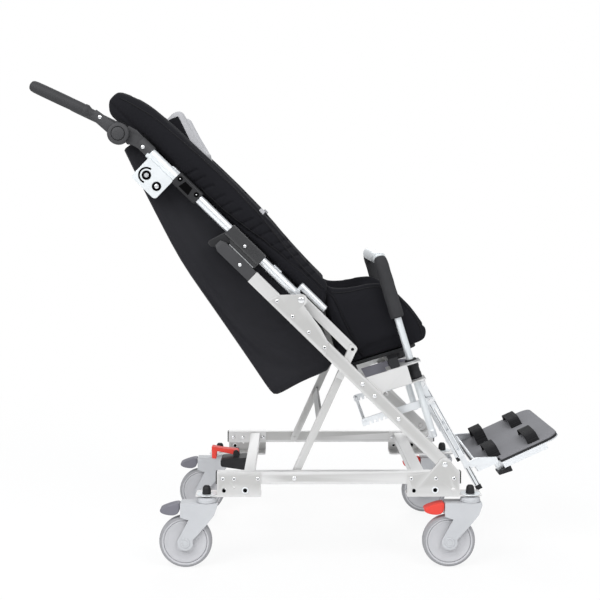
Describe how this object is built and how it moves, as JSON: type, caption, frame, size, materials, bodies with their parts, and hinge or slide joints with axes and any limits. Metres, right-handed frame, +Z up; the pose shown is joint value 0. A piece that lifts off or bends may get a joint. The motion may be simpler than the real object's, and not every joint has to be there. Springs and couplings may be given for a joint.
{
  "type": "special needs stroller",
  "caption": "Reclined support seat with padded back, headrest, grab bar, sloping side frames and footplate on a low castor base, with push handles.",
  "frame": {"origin": "on the floor, below the middle of the overall box", "axes": "+X the way the child faces, +Y the stroller's left, +Z up"},
  "size_m": [1.2546, 0.531, 1.1362],
  "materials": {
    "satin": "satin warm light grey",
    "zinc": "bright zinc",
    "light_grey": "fine matte",
    "tyre": "non-marking grey",
    "dark_grey": "matte",
    "red": "semi-gloss",
    "black": "matte",
    "foam": "closed-cell foam",
    "fabric": "woven, slightly shiny",
    "grey_fabric": "melange",
    "mat": "matte"
  },
  "bodies": {
    "base": {"base_frame": "satin", "rear_lock_housing": "black", "rear_castor_bracket_right": "satin", "rear_castor_bracket_left": "satin", "front_castor_bracket_right": "satin", "front_castor_bracket_left": "satin"},
    "lock_lever": {"rear_lock_lever": "red"},
    "front_frame": {"main_leg_right": "satin", "leg_top_plug_right": "black", "leg_gusset_right": "satin", "seat_bracket_right": "satin", "post_bush_right": "black", "main_leg_left": "satin", "leg_top_plug_left": "black", "leg_gusset_left": "satin", "seat_bracket_left": "satin", "post_bush_left": "black", "seat_pan": "black", "seat_cushion": "fabric"},
    "link": {"link_arm_right": "satin", "link_arm_left": "satin"},
    "strut": {"rear_strut_frame": "satin"},
    "back_frame": {"back_tube_frame": "zinc", "back_cushion": "fabric", "storage_bag": "fabric", "tube_connector_right": "black", "accessory_plate_right": "zinc", "handle_mount_right": "black", "tube_connector_left": "black", "accessory_plate_left": "zinc", "handle_mount_left": "black"},
    "headrest": {"headrest_pad": "grey_fabric"},
    "grab_bar": {"grab_bar": "zinc", "grab_bar_foam_right": "foam", "grab_bar_foam_left": "foam"},
    "leg_rest": {"leg_rest_frame": "zinc"},
    "rack": {"leg_rest_rack": "zinc"},
    "foot_extension": {"foot_extension": "zinc"},
    "footplate": {"footplate": "zinc", "footplate_mat": "mat"},
    "latch_right": {"fold_latch_right": "black"},
    "handle_right": {"push_handle_right": "black"},
    "button_right": {"handle_button_right": "black"},
    "castor_rear_right": {"castor_fork_rear_right": "light_grey"},
    "wheel_rear_right": {"castor_wheel_rear_right": "tyre"},
    "pedal_rear_right": {"castor_pedal_rear_right": "dark_grey"},
    "castor_front_right": {"castor_fork_front_right": "light_grey"},
    "wheel_front_right": {"castor_wheel_front_right": "tyre"},
    "pedal_front_right": {"castor_pedal_front_right": "red"},
    "latch_left": {"fold_latch_left": "black"},
    "handle_left": {"push_handle_left": "black"},
    "button_left": {"handle_button_left": "black"},
    "castor_rear_left": {"castor_fork_rear_left": "light_grey"},
    "wheel_rear_left": {"castor_wheel_rear_left": "tyre"},
    "pedal_rear_left": {"castor_pedal_rear_left": "dark_grey"},
    "castor_front_left": {"castor_fork_front_left": "light_grey"},
    "wheel_front_left": {"castor_wheel_front_left": "tyre"},
    "pedal_front_left": {"castor_pedal_front_left": "red"}
  },
  "joints": [
    {"name": "frame_fold", "type": "hinge", "parent": "base", "child": "front_frame", "pos_m": [0.3356, 0, 0.246], "axis": [0, -1, 0], "range_deg": [0, 20], "deforming": ["storage_bag"]},
    {"name": "strut_fold", "type": "hinge", "parent": "base", "child": "strut", "pos_m": [-0.0176, 0, 0.213], "axis": [0, -1, 0], "range_deg": [0, 12.7]},
    {"name": "link_fold", "type": "hinge", "parent": "front_frame", "child": "link", "pos_m": [-0.00131, 0, 0.63318], "axis": [0, -1, 0], "range_deg": [0, 39.4]},
    {"name": "back_fold", "type": "hinge", "parent": "front_frame", "child": "back_frame", "pos_m": [-0.00131, 0, 0.63318], "axis": [0, -1, 0], "range_deg": [-80, 0], "deforming": ["seat_cushion", "back_cushion", "headrest_pad"]},
    {"name": "headrest_height", "type": "slide", "parent": "back_frame", "child": "headrest", "axis": [-0.7146, 0, 0.6995], "range_m": [-0.06, 0.03]},
    {"name": "grab_bar_height", "type": "slide", "parent": "front_frame", "child": "grab_bar", "axis": [-0.294, 0, 0.9558], "range_m": [0, 0.1]},
    {"name": "leg_rest_tilt", "type": "hinge", "parent": "front_frame", "child": "leg_rest", "pos_m": [0.28904, 0, 0.42541], "axis": [0, -1, 0], "range_deg": [0, 50]},
    {"name": "rack_swing", "type": "hinge", "parent": "leg_rest", "child": "rack", "pos_m": [0.31151, 0, 0.38504], "axis": [0, -1, 0], "range_deg": [-40, 0]},
    {"name": "foot_height", "type": "slide", "parent": "leg_rest", "child": "foot_extension", "axis": [0.4863, 0, -0.8738], "range_m": [-0.03, 0]},
    {"name": "footplate_flip", "type": "hinge", "parent": "foot_extension", "child": "footplate", "pos_m": [0.42391, 0, 0.23038], "axis": [0, -1, 0], "range_deg": [0, 80]},
    {"name": "lock_press", "type": "hinge", "parent": "base", "child": "lock_lever", "pos_m": [-0.166, 0, 0.2235], "axis": [0, -1, 0], "range_deg": [0, 10], "stiffness_Nm_per_rad": 1.5, "springref_deg": -5.73},
    {"name": "latch_right", "type": "slide", "parent": "back_frame", "child": "latch_right", "axis": [-0.7146, 0, 0.6995], "range_m": [0, 0.015]},
    {"name": "handle_angle_right", "type": "hinge", "parent": "back_frame", "child": "handle_right", "pos_m": [-0.42431, -0.2195, 1.01719], "axis": [0, -1, 0], "range_deg": [-45, 45]},
    {"name": "button_right", "type": "slide", "parent": "handle_right", "child": "button_right", "axis": [0, 1, 0], "range_m": [0, 0.0018], "stiffness_N_per_m": 400, "springref_m": -0.003},
    {"name": "swivel_rear_right", "type": "hinge", "parent": "base", "child": "castor_rear_right", "pos_m": [-0.224, -0.242, 0.172], "axis": [0, 0, 1], "continuous": true},
    {"name": "spin_rear_right", "type": "hinge", "parent": "castor_rear_right", "child": "wheel_rear_right", "pos_m": [-0.274, -0.242, 0.0625], "axis": [0, 1, 0], "continuous": true},
    {"name": "brake_rear_right", "type": "hinge", "parent": "castor_rear_right", "child": "pedal_rear_right", "pos_m": [-0.2953, -0.242, 0.1462], "axis": [0, -1, 0], "range_deg": [0, 8]},
    {"name": "swivel_front_right", "type": "hinge", "parent": "base", "child": "castor_front_right", "pos_m": [0.3975, -0.242, 0.172], "axis": [0, 0, 1], "continuous": true},
    {"name": "spin_front_right", "type": "hinge", "parent": "castor_front_right", "child": "wheel_front_right", "pos_m": [0.3475, -0.242, 0.0625], "axis": [0, 1, 0], "continuous": true},
    {"name": "brake_front_right", "type": "hinge", "parent": "castor_front_right", "child": "pedal_front_right", "pos_m": [0.3262, -0.242, 0.1462], "axis": [0, -1, 0], "range_deg": [0, 8]},
    {"name": "latch_left", "type": "slide", "parent": "back_frame", "child": "latch_left", "axis": [-0.7146, 0, 0.6995], "range_m": [0, 0.015]},
    {"name": "handle_angle_left", "type": "hinge", "parent": "back_frame", "child": "handle_left", "pos_m": [-0.42431, 0.2195, 1.01719], "axis": [0, -1, 0], "range_deg": [-45, 45]},
    {"name": "button_left", "type": "slide", "parent": "handle_left", "child": "button_left", "axis": [0, -1, 0], "range_m": [0, 0.0018], "stiffness_N_per_m": 400, "springref_m": -0.003},
    {"name": "swivel_rear_left", "type": "hinge", "parent": "base", "child": "castor_rear_left", "pos_m": [-0.224, 0.242, 0.172], "axis": [0, 0, 1], "continuous": true},
    {"name": "spin_rear_left", "type": "hinge", "parent": "castor_rear_left", "child": "wheel_rear_left", "pos_m": [-0.274, 0.242, 0.0625], "axis": [0, 1, 0], "continuous": true},
    {"name": "brake_rear_left", "type": "hinge", "parent": "castor_rear_left", "child": "pedal_rear_left", "pos_m": [-0.2953, 0.242, 0.1462], "axis": [0, -1, 0], "range_deg": [0, 8]},
    {"name": "swivel_front_left", "type": "hinge", "parent": "base", "child": "castor_front_left", "pos_m": [0.3975, 0.242, 0.172], "axis": [0, 0, 1], "continuous": true},
    {"name": "spin_front_left", "type": "hinge", "parent": "castor_front_left", "child": "wheel_front_left", "pos_m": [0.3475, 0.242, 0.0625], "axis": [0, 1, 0], "continuous": true},
    {"name": "brake_front_left", "type": "hinge", "parent": "castor_front_left", "child": "pedal_front_left", "pos_m": [0.3262, 0.242, 0.1462], "axis": [0, -1, 0], "range_deg": [0, 8]}
  ],
  "couplings": [
    {"joint": "strut_fold", "follows": "frame_fold", "ratio": 0.63},
    {"joint": "link_fold", "follows": "frame_fold", "ratio": 1.96},
    {"joint": "rack_swing", "follows": "leg_rest_tilt", "ratio": -0.8}
  ]
}
